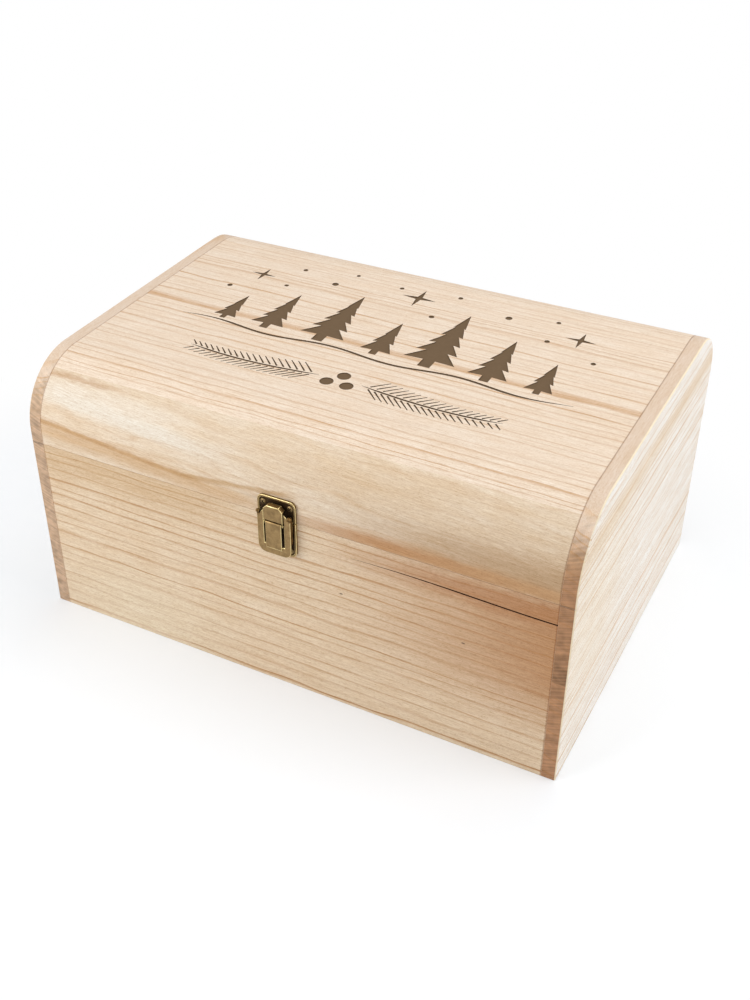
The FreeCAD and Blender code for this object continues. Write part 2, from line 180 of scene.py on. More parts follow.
@dataclass(frozen=True)
class Paulownia:
    """Sawn and sanded paulownia: pale, soft, with thin tan growth lines and fine pores.

    Lengths are millimetres. The growth lines are rings about a pith that may lean along the grain. On the
    end boards the arrises carry a painted highlight and the lid's seam a painted shade.
    """

    name: str
    pale: str
    line: str
    warm: str
    pith: Point
    ring: float
    wander: float
    grain: Grain = Grain.ALONG_WIDTH
    lean: Point = (0.0, 0.0)
    jitter: float = 0.8
    line_share: float = 0.5
    line_strength: float = 0.6
    line_fall: float = 0.05
    line_power: float = 2.2
    patch: float = 0.4
    fibre: float = 0.16
    end_colour: str | None = None
    edge_colour: str = "D9AE80"
    # colour of the painted highlight on the chamfered arrises
    arris_highlight_colour: str = "F8E7C6"
    glue_colour: str = "945A32"
    end_slant: float = 20.0
    # height of the gap between lid and base, where shade is painted on the end grain
    seam_at: float = 125.0
    glued_at: float | None = None
    joint_at: float | None = None
    streaks: tuple[Streak, ...] = ()

    def material(self) -> Material:
        """Builds the material.

        Returns:
            A matt wood whose colour follows its rings, pores and streaks.
        """
        made = blank(self.name)
        tree = made.node_tree
        place = add(tree, "ShaderNodeTexCoord").outputs
        spot = add(tree, "ShaderNodeMapping", place["Object"], vector_type="POINT", named={
            "Rotation": self.grain.value, "Scale": (1 / MM, 1 / MM, 1 / MM)}).outputs[0]
        along = add(tree, "ShaderNodeSeparateXYZ", spot).outputs["X"]
        even = add(tree, "ShaderNodeCombineXYZ", along, along, along)
        lean = (0.0, *self.lean)
        leant = add(tree, "ShaderNodeVectorMath", even, lean, spot, operation="MULTIPLY_ADD").outputs[0]
        colour = self._rings(tree, leant)
        for streak in self.streaks:
            colour = self._streak(tree, spot, colour, streak)
        if self.joint_at is not None:
            reach = add(tree, "ShaderNodeMath", along, operation="ABSOLUTE")
            glue = add(tree, "ShaderNodeMapRange", reach, self.joint_at - 0.9, self.joint_at - 0.2, 0.0, 0.6)
            colour = add(tree, "ShaderNodeMix", data_type="RGBA", named={
                "Factor": glue, Mixed.FIRST: colour, Mixed.SECOND: linear(self.glue_colour),
            }).outputs[Mixed.RESULT]
        colour, relief = self._fibres(tree, leant, colour)
        if self.end_colour is not None:
            colour = self._end_grain(tree, place["Normal"], spot, colour)
        bump = add(tree, "ShaderNodeBump", named={"Strength": 0.12, "Distance": 0.1 * MM, "Height": relief})
        surface = add(tree, "ShaderNodeBsdfPrincipled", named={
            "Base Color": colour, "Roughness": 0.62, "IOR": 1.45, "Normal": bump, "Specular IOR Level": 0.3})
        add(tree, "ShaderNodeOutputMaterial", surface)
        return made

    def _drawn_out(self, tree: Tree, spot: Socket, pattern: Pattern) -> Node:
        """Noise drawn out along the grain.

        Args:
            tree: Material's tree.
            spot: Place in millimetres, grain along X.
            pattern: Its steps and detail.

        Returns:
            The noise.
        """
        along, across, detail = pattern.value
        steps = (1 / along, 1 / across, 1 / across)
        place = add(tree, "ShaderNodeVectorMath", spot, steps, operation="MULTIPLY")
        return add(tree, "ShaderNodeTexNoise", place, named={"Detail": detail})

    def _rings(self, tree: Tree, spot: Socket) -> Socket:
        """Colour of the growth rings.

        Args:
            tree: Material's tree.
            spot: Place in millimetres, grain along X.

        Returns:
            Colour before streaks and fibres.
        """
        bend = self._drawn_out(tree, spot, Pattern.BEND).outputs["Color"]
        shift = add(tree, "ShaderNodeVectorMath", bend, (0.5, 0.5, 0.5), operation="SUBTRACT")
        shift = add(tree, "ShaderNodeVectorMath", shift, operation="SCALE", named={"Scale": 2 * self.wander})
        bent = add(tree, "ShaderNodeVectorMath", spot, shift, operation="ADD")
        axes = add(tree, "ShaderNodeSeparateXYZ", bent).outputs
        offsets = [add(tree, "ShaderNodeMath", axes[axis], middle, operation="SUBTRACT")
                   for axis, middle in zip("YZ", self.pith)]
        flat = add(tree, "ShaderNodeCombineXYZ", None, *offsets)
        radius = add(tree, "ShaderNodeVectorMath", flat, operation="LENGTH").outputs["Value"]
        years = add(tree, "ShaderNodeMath", radius, 1 / self.ring, operation="MULTIPLY")
        uneven = add(tree, "ShaderNodeTexNoise", noise_dimensions="1D", named={
            "W": years, "Scale": 0.31, "Detail": 1.0})
        years = add(tree, "ShaderNodeMath", uneven, 2 * self.jitter, years, operation="MULTIPLY_ADD")
        year = add(tree, "ShaderNodeMath", years, operation="FRACT")
        number = add(tree, "ShaderNodeMath", years, operation="FLOOR")
        depth = add(tree, "ShaderNodeTexWhiteNoise", noise_dimensions="1D", named={
            "W": number}).outputs["Value"]
        weakest = 0.3 * self.line_strength
        weight = add(tree, "ShaderNodeMapRange", depth, 0.0, 1.0, weakest, self.line_strength)
        peak = 1 - self.line_fall
        late = add(tree, "ShaderNodeMapRange", year, peak - self.line_share, peak,
                   interpolation_type="SMOOTHERSTEP")
        drop = add(tree, "ShaderNodeMapRange", year, peak, 1.0, 1.0, 0.0, interpolation_type="SMOOTHSTEP")
        late = add(tree, "ShaderNodeMath", late, drop, operation="MULTIPLY")
        late = add(tree, "ShaderNodeMath", late, self.line_power, operation="POWER")
        broken = self._drawn_out(tree, spot, Pattern.BREAK)
        broken = add(tree, "ShaderNodeMapRange", broken, 0.32, 0.66, 0.5, 1.2)
        for share in (broken, weight):
            late = add(tree, "ShaderNodeMath", late, share, operation="MULTIPLY")
        cloud = self._drawn_out(tree, spot, Pattern.CLOUD)
        cloud = add(tree, "ShaderNodeMapRange", cloud, 0.35, 0.75, 0.0, self.patch)
        ground = add(tree, "ShaderNodeMix", data_type="RGBA", named={
            "Factor": cloud, Mixed.FIRST: linear(self.pale), Mixed.SECOND: linear(self.warm)})
        return add(tree, "ShaderNodeMix", data_type="RGBA", named={
            "Factor": late, Mixed.FIRST: ground.outputs[Mixed.RESULT], Mixed.SECOND: linear(self.line),
        }).outputs[Mixed.RESULT]

    def _streak(self, tree: Tree, spot: Socket, colour: Socket, streak: Streak) -> Socket:
        """Lays one streak over the colour.

        Args:
            tree: Material's tree.
            spot: Place in millimetres.
            colour: Colour under the streak.
            streak: The streak.

        Returns:
            Colour with the streak.
        """
        axes = add(tree, "ShaderNodeSeparateXYZ", spot).outputs
        wave = self._drawn_out(tree, spot, Pattern.WAVE)
        wave = add(tree, "ShaderNodeMapRange", wave, 0.0, 1.0, -streak.wobble, streak.wobble)
        middle = add(tree, "ShaderNodeMath", axes["X"], streak.slope, streak.at, operation="MULTIPLY_ADD")
        off = add(tree, "ShaderNodeMath", axes["Z"], middle, operation="SUBTRACT")
        off = add(tree, "ShaderNodeMath", off, wave, operation="ADD")
        off = add(tree, "ShaderNodeMath", off, operation="ABSOLUTE")
        core = 0.15 * streak.half
        body = add(tree, "ShaderNodeMapRange", off, streak.half, core, 0.0, streak.strength,
                   interpolation_type="SMOOTHSTEP")
        for edge, way in ((streak.start, 1), (streak.end, -1)):
            gate = add(tree, "ShaderNodeMapRange", axes["X"], edge, edge + way * streak.fade,
                       interpolation_type="SMOOTHSTEP")
            body = add(tree, "ShaderNodeMath", body, gate, operation="MULTIPLY")
        return add(tree, "ShaderNodeMix", data_type="RGBA", named={
            "Factor": body, Mixed.FIRST: colour, Mixed.SECOND: linear(streak.colour),
        }).outputs[Mixed.RESULT]

    def _end_grain(self, tree: Tree, normal: Socket, spot: Socket, colour: Socket) -> Socket:
        """Darkens the faces that cut across the grain, with slanting flecks, and paints a pale highlight on
        the arrises.

        Args:
            tree: Material's tree.
            normal: The board's own normal.
            spot: Place in millimetres.
            colour: Colour of the long faces.

        Returns:
            Colour of both.
        """
        ways = add(tree, "ShaderNodeVectorMath", normal, operation="ABSOLUTE")
        ways = add(tree, "ShaderNodeSeparateXYZ", ways).outputs
        edge = add(tree, "ShaderNodeMapRange", ways["X"], 0.8, 0.3, 0.0, 0.5)
        colour = add(tree, "ShaderNodeMix", data_type="RGBA", named={
            "Factor": edge, Mixed.FIRST: colour, Mixed.SECOND: linear(self.edge_colour),
        }).outputs[Mixed.RESULT]
        dark = add(tree, "ShaderNodeMix", data_type="RGBA", named={
            "Factor": 0.88, Mixed.FIRST: colour, Mixed.SECOND: linear(self.end_colour)})
        share = add(tree, "ShaderNodeMapRange", ways["Y"], 0.6, 1.0, 0.0, 0.97)
        mixed = add(tree, "ShaderNodeMix", data_type="RGBA", named={
            "Factor": share, Mixed.FIRST: colour, Mixed.SECOND: dark.outputs[Mixed.RESULT]})
        turned = add(tree, "ShaderNodeMapping", spot, named={
            "Rotation": (math.radians(self.end_slant), 0, 0)})
        turned = add(tree, "ShaderNodeVectorMath", turned, (0.2, 0.02, 0.9), operation="MULTIPLY")
        fleck = add(tree, "ShaderNodeTexNoise", turned, named={"Scale": 1.0, "Detail": 0.0})
        fleck = add(tree, "ShaderNodeMapRange", fleck, 0.38, 0.62, 0.87, 1.1)
        band = self._drawn_out(tree, spot, Pattern.BAND)
        band = add(tree, "ShaderNodeMapRange", band, 0.3, 0.7, -0.18, 0.18)
        tone = add(tree, "ShaderNodeMath", fleck, band, operation="ADD")
        # adds the painted shade at the lid's seam and the glue line's change of tone
        tone = add(tree, "ShaderNodeMath", tone, self._seam_shade_and_glue_line(tree, spot), operation="ADD")
        across = add(tree, "ShaderNodeMapRange", ways["Y"], 0.3, 1.0)
        tone = add(tree, "ShaderNodeMix", data_type="FLOAT", named={"Factor": across, "A": 1.0, "B": tone})
        mixed = add(tree, "ShaderNodeVectorMath", mixed.outputs[Mixed.RESULT], operation="SCALE", named={
            "Scale": tone})
        # painted highlight: near-white on the chamfers between the side and the front or top
        slant = add(tree, "ShaderNodeMath", ways["Y"], ways["Z"], operation="MAXIMUM")
        slant = add(tree, "ShaderNodeMath", slant, ways["X"], operation="MINIMUM")
        arris = add(tree, "ShaderNodeMapRange", slant, 0.45, 0.65, 0.0, 0.85)
        return add(tree, "ShaderNodeMix", data_type="RGBA", named={
            "Factor": arris, Mixed.FIRST: mixed, Mixed.SECOND: linear(self.arris_highlight_colour),
        }).outputs[Mixed.RESULT]

    def _seam_shade_and_glue_line(self, tree: Tree, spot: Socket) -> Socket:
        """Tone changes in the end grain: painted shade beside the lid's seam, and the line where two boards
        are glued edge to edge.

        Args:
            tree: Material's tree.
            spot: Place in millimetres.

        Returns:
            Change of tone: painted shade at the seam, dark just above the glue line, a little pale below it.
        """
        height = add(tree, "ShaderNodeSeparateXYZ", spot).outputs["Z"]
        # painted shade: darker within 0.9 mm of the gap between lid and base
        off = add(tree, "ShaderNodeMath", height, self.seam_at, operation="SUBTRACT")
        off = add(tree, "ShaderNodeMath", off, operation="ABSOLUTE")
        seam = add(tree, "ShaderNodeMapRange", off, 0.3, 0.9, -0.45, 0.0).outputs[0]
        if self.glued_at is None:
            return seam
        blur, fade = 0.3, 22.0
        below = add(tree, "ShaderNodeMapRange", height, self.glued_at - blur, self.glued_at + blur, 1.0, 0.0)
        above = add(tree, "ShaderNodeMapRange", height, self.glued_at, self.glued_at + fade, -0.3, 0.06)
        glued = add(tree, "ShaderNodeMix", data_type="FLOAT", named={"Factor": below, "A": above, "B": 0.1})
        return add(tree, "ShaderNodeMath", seam, glued, operation="ADD").outputs[0]

    def _fibres(self, tree: Tree, spot: Socket, colour: Socket) -> tuple[Socket, Socket]:
        """Long and fine fibres and short pores along the grain, drawn coarser than real so that they show.

        Args:
            tree: Material's tree.
            spot: Place in millimetres.
            colour: Colour without fibres.

        Returns:
            Colour with fibres, and their height for the bump.
        """
        layers = []
        for pattern, half in ((Pattern.FINE_FIBRE, 0.8), (Pattern.LONG_FIBRE, 0.6)):
            layer = self._drawn_out(tree, spot, pattern)
            layers.append(add(tree, "ShaderNodeMapRange", layer, 0.0, 1.0, -half, half))
        pores = self._drawn_out(tree, spot, Pattern.PORE)
        pores = add(tree, "ShaderNodeMapRange", pores, 0.56, 0.7, 0.0, 0.75)
        relief = add(tree, "ShaderNodeMath", *layers, operation="ADD")
        relief = add(tree, "ShaderNodeMath", relief, pores, operation="SUBTRACT").outputs[0]
        level = (1.0 - 0.2 * self.fibre,) * 3
        warmth = tuple(self.fibre * share for share in (0.7, 1.0, 1.35))
        tone = add(tree, "ShaderNodeVectorMath", relief, warmth, level, operation="MULTIPLY_ADD")
        return add(tree, "ShaderNodeVectorMath", colour, tone, operation="MULTIPLY").outputs[0], relief


@dataclass(frozen=True)
class BurntWoodAndCrackShade:
    """Burnt paulownia: a flat brown floor with the grain still showing and darker walls; with near-black
    colours it is also the painted shade inside the base's crack.
    """

    name: str = "laser_burnt_paulownia"
    floor: str = "7A644C"
    deep: str = "54412E"
    fibre_length: float = 12 * MM
    fibre_width: float = 0.8 * MM

    def material(self) -> Material:
        """Builds the material.

        Returns:
            A matt brown, darker on upright walls.
        """
        made = blank(self.name)
        tree = made.node_tree
        place = add(tree, "ShaderNodeTexCoord").outputs
        steps = (1 / self.fibre_length, 1 / self.fibre_width, 1 / self.fibre_width)
        spot = add(tree, "ShaderNodeVectorMath", place["Object"], steps, operation="MULTIPLY")
        fibre = add(tree, "ShaderNodeTexNoise", spot, named={"Detail": 3.0})
        tone = add(tree, "ShaderNodeMapRange", fibre, 0.25, 0.75, 0.45, 0.0)
        upright = add(tree, "ShaderNodeSeparateXYZ", place["Normal"]).outputs["Z"]
        wall = add(tree, "ShaderNodeMapRange", upright, 0.8, 0.2, 0.0, 0.8)
        share = add(tree, "ShaderNodeMath", tone, wall, operation="MAXIMUM")
        colour = add(tree, "ShaderNodeMix", data_type="RGBA", named={
            "Factor": share, Mixed.FIRST: linear(self.floor), Mixed.SECOND: linear(self.deep)})
        surface = add(tree, "ShaderNodeBsdfPrincipled", named={
            "Base Color": colour.outputs[Mixed.RESULT], "Roughness": 0.85, "Specular IOR Level": 0.15})
        add(tree, "ShaderNodeOutputMaterial", surface)
        return made


@dataclass(frozen=True)
class AntiqueBrass:
    """Pressed brass, darkened and rubbed: brown in the hollows, clean at the edges; some colour sets also
    paint light: a highlight with the rubbed edges, shade on flanks and in screw slots.
    """

    name: str
    face: str
    stain: str
    roughness: float
    stain_share: float = 0.6
    cloud: float = 3.5 * MM
    grit: float = 0.7 * MM

    def material(self) -> Material:
        """Builds the material.

        Returns:
            A metal mottled between its face and its stain.
        """
        made = blank(self.name)
        tree = made.node_tree
        place = add(tree, "ShaderNodeTexCoord").outputs["Object"]
        cloud = add(tree, "ShaderNodeTexNoise", place, named={"Scale": 1 / self.cloud, "Detail": 4.0})
        grit = add(tree, "ShaderNodeTexNoise", place, named={"Scale": 1 / self.grit, "Detail": 2.0})
        mixed = add(tree, "ShaderNodeMath", grit, 0.4, cloud, operation="MULTIPLY_ADD")
        share = add(tree, "ShaderNodeMapRange", mixed, 0.5, 0.95, 0.0, self.stain_share)
        colour = add(tree, "ShaderNodeMix", data_type="RGBA", named={
            "Factor": share, Mixed.FIRST: linear(self.face), Mixed.SECOND: linear(self.stain)})
        rough = add(tree, "ShaderNodeMapRange", mixed, 0.4, 1.0, self.roughness, self.roughness + 0.15)
        surface = add(tree, "ShaderNodeBsdfPrincipled", named={
            "Base Color": colour.outputs[Mixed.RESULT], "Roughness": rough, "Metallic": 1.0})
        add(tree, "ShaderNodeOutputMaterial", surface)
        return made


WALL = Paulownia(
    "paulownia_wall", pale="F3DDC0", line="BE8445", warm="E8C9A3", pith=(-35, -60), ring=5.8, jitter=1,
    line_share=0.36, line_strength=0.95, wander=1.6, patch=0.6, fibre=0.46, joint_at=JOINT_AT, streaks=(
        Streak("F8EACF", 14, 0, 50, -200, -10, 0.5, 90, 6),
        Streak("CFA670", 120, 0, 26, -260, 10, 0.4, 90, 6),
        Streak("C28A58", 92, 0, 78, 0, 400, 0.95, 210, 8),
        Streak("BC8050", 114, 0.012, 13, 10, 300, 0.6, 110, 5),
        Streak("5A4030", 84.8, 0, 0.7, 38.4, 40.8, 0.9, 0.6, 0),
        Streak("5A4030", 78.4, 0, 0.7, 113.8, 116.2, 0.9, 0.6, 0)))
RAIL = Paulownia(
    "paulownia_rail", pale="F4E1C9", line="D3A877", warm="EBCFAB", pith=(-125, -100), lean=(0.02, 0.045),
    ring=8, jitter=1.2, line_fall=0.12, line_strength=0.42, wander=8, patch=0.6,
    fibre=0.4, joint_at=JOINT_AT, streaks=(
        Streak("FAF2E4", 150, -0.045, 7, -200, -20, 0.7, 60, 2),
        Streak("FDF3E4", 162, 0, 5.5, -190, -50, 0.5, 50, 1.5),
        Streak("DDB888", 158, 0, 14, -30, 120, 0.32, 60, 4),
        Streak("BE8A56", 166.8, 0, 1.7, -200, -100, 0.45, 40, 1.2),
        Streak("C2935C", 128.9, -0.077, 2.4, -200, -40, 0.75, 30, 1),
        Streak("C9A06C", 140.6, 0.1, 2.4, -80, 20, 0.65, 25, 1),
        Streak("D6AC7A", 127.5, -0.06, 9, -240, 20, 0.6, 60, 2),
        Streak("B18A64", 137, 0, 17, 10, 320, 0.75, 150, 6),
        Streak("C0864E", 127.5, 0.012, 8, -20, 260, 0.85, 90, 2),
        Streak("E2BF95", 140, 0, 30, 20, 320, 0.45, 150, 6)))
TOP = Paulownia(
    "paulownia_top", pale="FCE9D4", line="D2A06A", warm="F5D9BB", pith=(-420, -160), lean=(0.012, 0),
    ring=5, jitter=1.5, line_share=0.42, line_strength=0.9, wander=1.6, patch=0.5, fibre=0.4,
    joint_at=JOINT_AT)
BACK = Paulownia(
    "paulownia_back", pale="F1DDC3", line="C99B6D", warm="E6C8A2", pith=(60, -500), ring=6.5, wander=3,
    joint_at=JOINT_AT)
PANEL = Paulownia(
    "paulownia_panel", pale="F0DCC2", line="CFA273", warm="E7CBA8", pith=(-60, -300), ring=9,
    wander=6)
LEFT_END = Paulownia(
    "paulownia_end_left", pale="FFFAF3", line="DBAC70", warm="EFDFCB", grain=Grain.ALONG_DEPTH,
    pith=(0, -500), lean=(0, 0.03), ring=5, jitter=1.6, line_strength=1, wander=2, patch=0.45,
    fibre=0.48, end_colour="BE9E81", end_slant=-20, streaks=(
        Streak("E4C08C", 150, 0, 13, -160, 160, 0.4),
        Streak("F6DDB4", 95, 0, 90, -220, 0, 0.3, 90, 3)))
RIGHT_END = replace(
    LEFT_END, name="paulownia_end_right", lean=(0, 0.02), end_colour="9F6D43", end_slant=20,
    glued_at=72)
# near-black colours: painted shade on the walls of the narrow drying crack
CRACK_SHADE = BurntWoodAndCrackShade("painted_shade_in_crack", floor="3A1E12", deep="200F08")
BRASSES = (
    AntiqueBrass("antique_brass_face", face="A1865C", stain="604B31", roughness=0.38),
    # pale edge colour: rubbed wear and a painted highlight
    AntiqueBrass("antique_brass_rubbed_highlight", face="EBD9A2", stain="B3965C", roughness=0.28),
    AntiqueBrass("antique_brass_patina", face="4A3826", stain="2E2116", roughness=0.5),
    # darker copy of the face colour: painted shade on flanks and knuckles
    AntiqueBrass("antique_brass_flank_shade", face="86693F", stain="4C3A25", roughness=0.42))
SCREW = AntiqueBrass("antique_brass_screw", face="9C845C", stain="3E2F20", roughness=0.4)
# near-black: painted shade in the screws' narrow slots
SLOT_SHADE = AntiqueBrass("painted_shade_in_screw_slots", face="2A1F14", stain="1A120B", roughness=0.6)


def placed(name: str, data: bpy.types.ID) -> Object:
    """New object in the scene.

    Args:
        name: Its name.
        data: Its mesh, lamp or camera.

    Returns:
        The object, at the origin.
    """
    made = bpy.data.objects.new(name, data)
    bpy.context.collection.objects.link(made)
    return made


def finished(name: str, mesh: Mesh, body: str, nodes: list[str]) -> None:
    """Puts a finished mesh in the scene.

    Args:
        name: Name of the piece.
        mesh: Its mesh, in place, in metres.
        body: Body that it rides on.
        nodes: CAD nodes that it stands for.
    """
    piece = placed(name, mesh)
    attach(piece, body)
    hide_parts(*nodes)
    LOG.info("%s on %s: %d faces", name, body, len(mesh.polygons))


def mesh_of(shape: BMesh, name: str) -> Mesh:
    """Turns a working shape to a mesh and frees it.

    Args:
        shape: The shape.
        name: Name of the mesh.

    Returns:
        The mesh.
    """
    mesh = bpy.data.meshes.new(name)
    shape.to_mesh(mesh)
    shape.free()
    return mesh


def welded(node: str, weld: float = 0.002 * MM) -> BMesh:
    """Working copy of a CAD node's mesh with its loose triangles joined.

    Args:
        node: Name of the node.
        weld: Points nearer than this become one.

    Returns:
        The shape.
    """
    shape = bmesh.new()
    shape.from_mesh(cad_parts[node].data)
    bmesh.ops.remove_doubles(shape, verts=shape.verts, dist=weld)
    return shape


def merged_copy(node: str, *weld: float) -> Mesh:
    """Mesh of a CAD node, welded and with its flat faces made whole.

    Args:
        node: Name of the node.
        weld: Another welding distance.

    Returns:
        The new mesh, without materials.
    """
    shape = welded(node, *weld)
    bmesh.ops.dissolve_limit(shape, angle_limit=math.radians(0.5), verts=shape.verts, edges=shape.edges)
    return mesh_of(shape, node)


def evaluated(mesh: Mesh, dress: Callable[[Object], object]) -> Mesh:
    """Mesh with modifiers applied.

    Args:
        mesh: Starting mesh.
        dress: Function that adds the modifiers to an object.

    Returns:
        A plain mesh.
    """
    holder = placed("holder", mesh)
    dress(holder)
    view = bpy.context.evaluated_depsgraph_get()
    made = bpy.data.meshes.new_from_object(holder.evaluated_get(view), depsgraph=view)
    bpy.data.objects.remove(holder)
    return made


def cut_out(mesh: Mesh, cutter: Object) -> Mesh:
    """Mesh without the shape of a cutter, which is used up.

    Args:
        mesh: Starting mesh.
        cutter: Object to cut out.

    Returns:
        A plain mesh.
    """
    def dress(holder: Object) -> None:
        """Adds the cut."""
        cut = holder.modifiers.new("cut", "BOOLEAN")
        cut.object = cutter
        cut.solver = "EXACT"

    made = evaluated(mesh, dress)
    bpy.data.objects.remove(cutter)
    return made


def bevelled(holder: Object, width: float, degrees: float) -> bpy.types.BevelModifier:
    """Rounds an object's sharp edges.

    Args:
        holder: The object.
        width: Width of the rounding.
        degrees: Least angle of an edge that is sharp.

    Returns:
        The modifier.
    """
    soft = holder.modifiers.new("edge", "BEVEL")
    soft.width = width
    soft.segments = 2
    soft.limit_method = "ANGLE"
    soft.angle_limit = math.radians(degrees)
    return soft


def smooth(mesh: Mesh, degrees: float) -> None:
    """Shades a mesh smooth except at sharp edges and on faces square to an axis.

    Args:
        mesh: The mesh.
        degrees: Least angle of an edge that is sharp.
    """
    mesh.set_sharp_from_angle(angle=math.radians(degrees))
    mesh.polygons.foreach_set("use_smooth", [max(map(abs, face.normal)) < 0.9999 for face in mesh.polygons])
    mesh.update()


@dataclass
class Carcass:
    """Boards of the base and the lid, all but the decorated top."""

    edge: float = 0.05 * MM
    crack_start: float = 46 * MM
    crack_end: float = 166.5 * MM
    crack_height: float = 112.6 * MM
    crack_sway: float = 3 * MM
    crack_width: float = 1.5 * MM
    crack_depth: float = 1.5 * MM
    crack_steps: int = 24

    def build(self) -> None:
        """Makes and dresses the boards."""
        boards = {
            "base_back_board": (BACK, "base", "wall_wood"),
            "base_left_end": (LEFT_END, "base", "end_wood"),
            "base_right_end": (RIGHT_END, "base", "end_wood"),
            "base_bottom_panel": (PANEL, "base", "panel_wood"),
            "lid_left_end": (LEFT_END, "lid", "end_wood"),
            "lid_right_end": (RIGHT_END, "lid", "end_wood"),
            "lid_front_rail": (RAIL, "lid", "rail_wood"),
            "lid_back_rail": (BACK, "lid", "rail_wood"),
            "base_front_board": (WALL, "base", "wall_wood"),
        }
        made: dict[str, Material] = {}
        for node, (wood, body, slot) in boards.items():
            if wood.name not in made:
                made[wood.name] = wood.material()
            mesh = merged_copy(node)
            cracked = node == "base_front_board"
            soften = partial(bevelled, width=self.edge, degrees=35)
            mesh = cut_out(mesh, self._crack()) if cracked else evaluated(mesh, soften)
            smooth(mesh, 40)
            mesh.materials.clear()
            mesh.materials.append(made[wood.name])
            if cracked:
                # second material: painted shade on the crack's walls
                mesh.materials.append(CRACK_SHADE.material())
                self._paint_crack_shade(mesh)
            finished(f"{node}_wood", mesh, body, [node])

    def _paint_crack_shade(self, mesh: Mesh) -> None:
        """Gives the walls of the crack the second material, a near-black painted shade.

        Args:
            mesh: Mesh of the cracked board.
        """
        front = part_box("base_front_board")[0][1]
        for face in mesh.polygons:
            x, y, z = face.center
            near = self.crack_start < x < self.crack_end and abs(z - self.crack_height) < self.crack_sway
            # faces inside the crack take the painted shade
            face.material_index = int(near and 0.02 * MM < y - front < self.crack_depth)

    def _crack(self) -> Object:
        """Thin wedge for the drying crack at the right of the base's front, opening to the right.

        Returns:
            Cutter object.
        """
        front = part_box("base_front_board")[0][1]
        shape = bmesh.new()
        rows = []
        for i in range(self.crack_steps + 1):
            t = i / self.crack_steps
            x = self.crack_start + t * (self.crack_end - self.crack_start)
            z = self.crack_height + (1.1 * math.sin(4.1 * t + 0.6) - 0.9 * (1 - t)) * MM
            half = 0.5 * self.crack_width * min(1.0, 0.12 + 1.6 * t)
            corners = ((front - MM, z - half), (front - MM, z + half), (front + self.crack_depth, z))
            rows.append([shape.verts.new((x, *corner)) for corner in corners])
        for a, b in zip(rows, rows[1:]):
            for j in range(3):
                shape.faces.new((a[j], b[j], b[(j + 1) % 3], a[(j + 1) % 3]))
        shape.faces.new(rows[0])
        shape.faces.new(list(reversed(rows[-1])))
        bmesh.ops.recalc_face_normals(shape, faces=shape.faces)
        return placed("crack", mesh_of(shape, "crack"))


